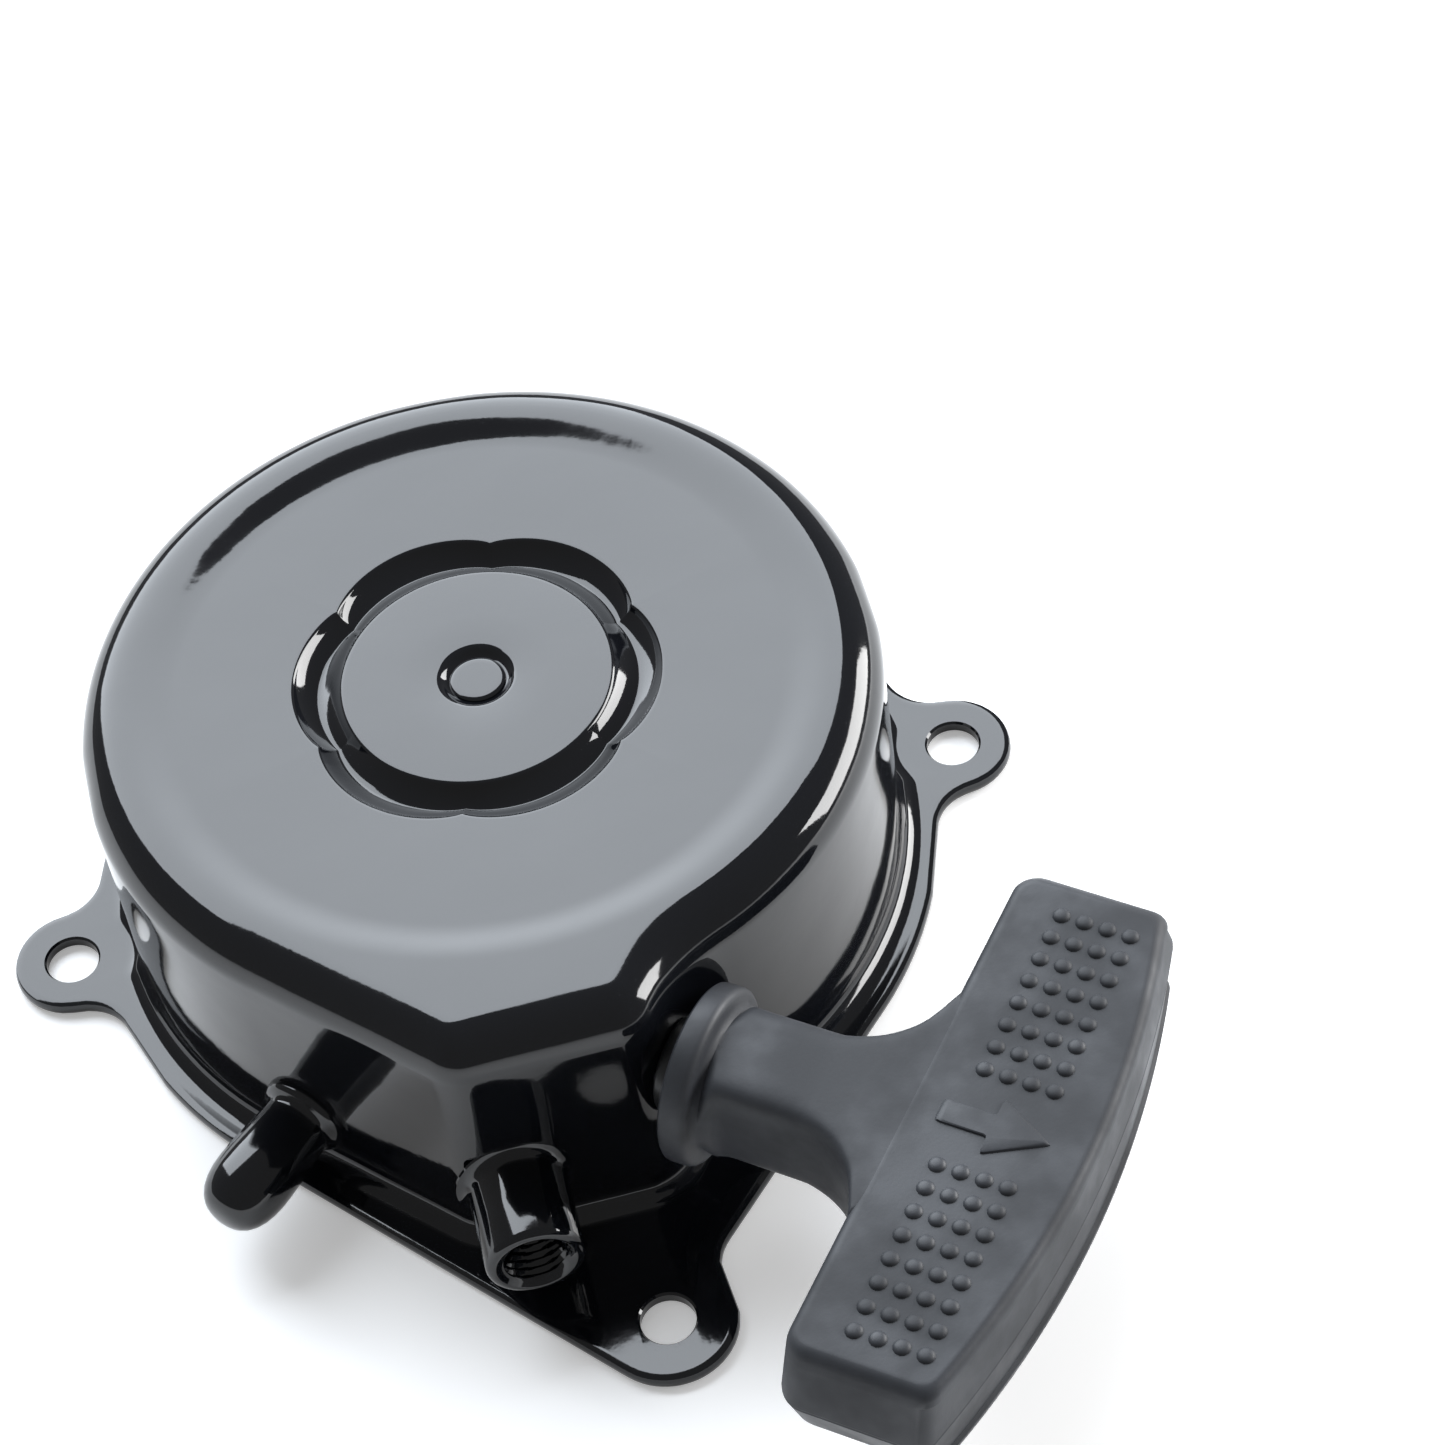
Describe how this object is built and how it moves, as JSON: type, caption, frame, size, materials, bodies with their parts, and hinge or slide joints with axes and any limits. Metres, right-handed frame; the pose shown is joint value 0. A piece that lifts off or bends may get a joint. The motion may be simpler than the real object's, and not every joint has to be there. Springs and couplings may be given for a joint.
{
  "type": "recoil starter",
  "caption": "Pull-rope starter in a deep black steel cup with four flange ears, a rope nose, a T grip, and an open side showing reel, pawl, friction clip and lockout lever.",
  "frame": {"origin": "on the centre shaft's axis, in the plane of the mounting flange's engine-side face", "axes": "+Z along the shaft axis away from the engine, towards the cup's roof; +X towards one side ear; -Y towards the corner ear and the rope nose"},
  "size_m": [0.1953, 0.2492, 0.054],
  "materials": {
    "black_enamel": "gloss",
    "turned_steel": "satin",
    "black_steel": "satin",
    "zinc_plate": "satin",
    "spring_steel": "satin",
    "black_nylon": "matte",
    "bronze": "satin",
    "rope": "matte",
    "rope_end": "matte",
    "grip_rubber": "matte"
  },
  "bodies": {
    "housing": {"housing_roof": "black_enamel", "housing_wall": "black_enamel", "housing_flange": "black_enamel", "cable_boss": "black_enamel", "shaft": "turned_steel", "circlip": "black_steel", "thrust_washer": "turned_steel", "spring_arbor": "turned_steel", "recoil_spring": "spring_steel", "rope_guide": "black_nylon", "rope_lead": "rope", "bracket": "zinc_plate", "leaf_spring": "spring_steel", "clamp_plate": "zinc_plate", "bracket_bolt": "zinc_plate", "bolt_washer": "zinc_plate", "stud_cap": "black_enamel", "lever_pin": "zinc_plate", "lever_spring": "spring_steel"},
    "reel": {"reel": "black_nylon", "reel_bush": "bronze", "spring_keeper": "spring_steel", "rope_coil": "rope", "rope_knot": "rope_end", "pawl_pin": "turned_steel"},
    "pawl": {"pawl": "zinc_plate"},
    "friction_clip": {"friction_clip": "black_steel"},
    "lockout_lever": {"lockout_lever": "zinc_plate", "cable_hook": "zinc_plate"},
    "handle": {"grip": "grip_rubber", "grip_cap": "grip_rubber", "grip_rope": "rope", "grip_knot": "rope_end", "grip_washer": "zinc_plate"}
  },
  "joints": [
    {"name": "reel_spin", "type": "hinge", "parent": "housing", "child": "reel", "pos_m": [0, 0, 0.03], "axis": [0, 0, 1], "range_deg": [0, 1440], "stiffness_Nm_per_rad": 0.02, "springref_deg": -1145.92, "deforming": ["recoil_spring", "leaf_spring"]},
    {"name": "handle_pull", "type": "slide", "parent": "housing", "child": "handle", "axis": [0.788, -0.6157, 0], "range_m": [0, 1.0305], "deforming": ["rope_lead"]},
    {"name": "pawl_swing", "type": "hinge", "parent": "reel", "child": "pawl", "pos_m": [0.00396, -0.02499, 0.012], "axis": [0, 0, -1], "range_deg": [0, 12]},
    {"name": "clip_turn", "type": "hinge", "parent": "reel", "child": "friction_clip", "pos_m": [0, 0, 0.0146], "axis": [0, 0, -1], "range_deg": [0, 9.6]},
    {"name": "lockout_swing", "type": "hinge", "parent": "housing", "child": "lockout_lever", "pos_m": [-0.03085, -0.0576, 0.012], "axis": [0, 0, -1], "range_deg": [0, 8], "stiffness_Nm_per_rad": 0.05, "springref_deg": -17.19}
  ],
  "couplings": [
    {"joint": "handle_pull", "follows": "reel_spin", "m_per_rad": 0.041},
    {"joint": "clip_turn", "follows": "pawl_swing", "ratio": 0.8}
  ]
}
